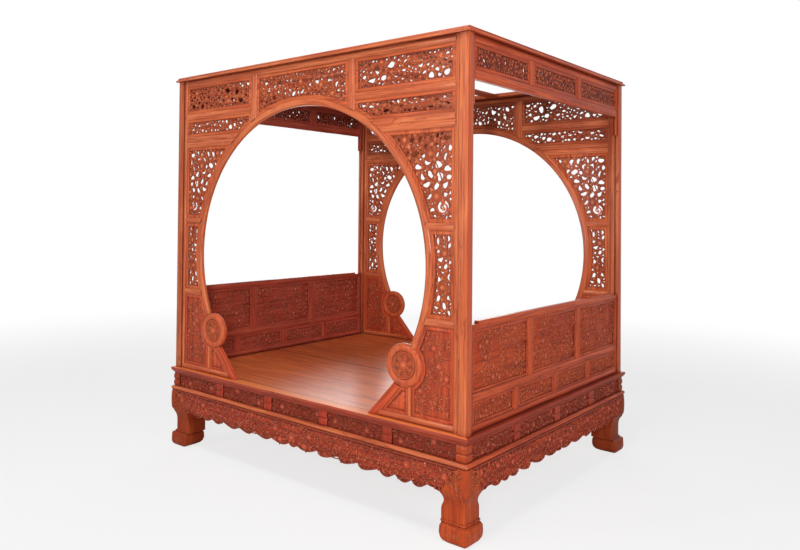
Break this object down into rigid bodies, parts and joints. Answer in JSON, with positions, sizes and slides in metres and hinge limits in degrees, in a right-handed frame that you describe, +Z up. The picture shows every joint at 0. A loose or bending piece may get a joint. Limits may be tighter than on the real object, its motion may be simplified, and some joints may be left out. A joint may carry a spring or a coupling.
{
  "type": "canopy bed",
  "caption": "Canopy bed in carved red hardwood: a round moon gate on each long side, panelled end railings, pierced friezes, a flat open canopy and a waisted base on hoof feet.",
  "frame": {"origin": "centre of the footprint, on the floor under the feet", "axes": "+X along the bed's length, -Y out through the front moon gate, +Z up"},
  "size_m": [2.238, 1.928, 2.384],
  "materials": {
    "frame_wood": "semi-gloss varnish",
    "carved_wood": "semi-gloss varnish",
    "leg_wood": "semi-gloss varnish",
    "deck_wood": "gloss varnish",
    "inner_wood": "satin varnish"
  },
  "bodies": {
    "root": {"leg_front_left": "leg_wood", "leg_front_right": "leg_wood", "leg_rear_left": "leg_wood", "leg_rear_right": "leg_wood", "apron_front": "carved_wood", "apron_rear": "carved_wood", "apron_left": "carved_wood", "apron_right": "carved_wood", "waist_moulding_front": "frame_wood", "waist_moulding_rear": "frame_wood", "waist_moulding_left": "frame_wood", "waist_moulding_right": "frame_wood", "waist_blocks": "frame_wood", "waist_panels_front": "carved_wood", "waist_panels_rear": "carved_wood", "waist_panels_ends": "carved_wood", "platform_rail_front": "frame_wood", "platform_rail_rear": "frame_wood", "platform_rail_left": "frame_wood", "platform_rail_right": "frame_wood", "deck_board_front": "deck_wood", "deck_board_rear": "deck_wood", "deck_bearers": "inner_wood", "post_front_left": "frame_wood", "post_front_right": "frame_wood", "post_rear_left": "frame_wood", "post_rear_right": "frame_wood", "front_frieze_frame": "frame_wood", "front_frieze_panels": "carved_wood", "front_arch": "frame_wood", "front_ring_left": "frame_wood", "front_ring_right": "frame_wood", "front_jamb_frames": "frame_wood", "front_medallions": "frame_wood", "front_struts": "frame_wood", "front_pierced_panels": "carved_wood", "front_carved_panels": "carved_wood", "rear_frieze_frame": "frame_wood", "rear_frieze_panels": "carved_wood", "rear_arch": "frame_wood", "rear_ring_left": "frame_wood", "rear_ring_right": "frame_wood", "rear_jamb_frames": "frame_wood", "rear_medallions": "frame_wood", "rear_struts": "frame_wood", "rear_pierced_panels": "carved_wood", "rear_carved_panels": "carved_wood", "left_frieze_frame": "frame_wood", "left_frieze_panels": "carved_wood", "left_railing_frame": "frame_wood", "left_railing_panels": "carved_wood", "right_frieze_frame": "frame_wood", "right_frieze_panels": "carved_wood", "right_railing_frame": "frame_wood", "right_railing_panels": "carved_wood", "canopy_rails_long": "frame_wood", "canopy_rails_short": "frame_wood", "canopy_battens": "inner_wood"}
  },
  "joints": []
}
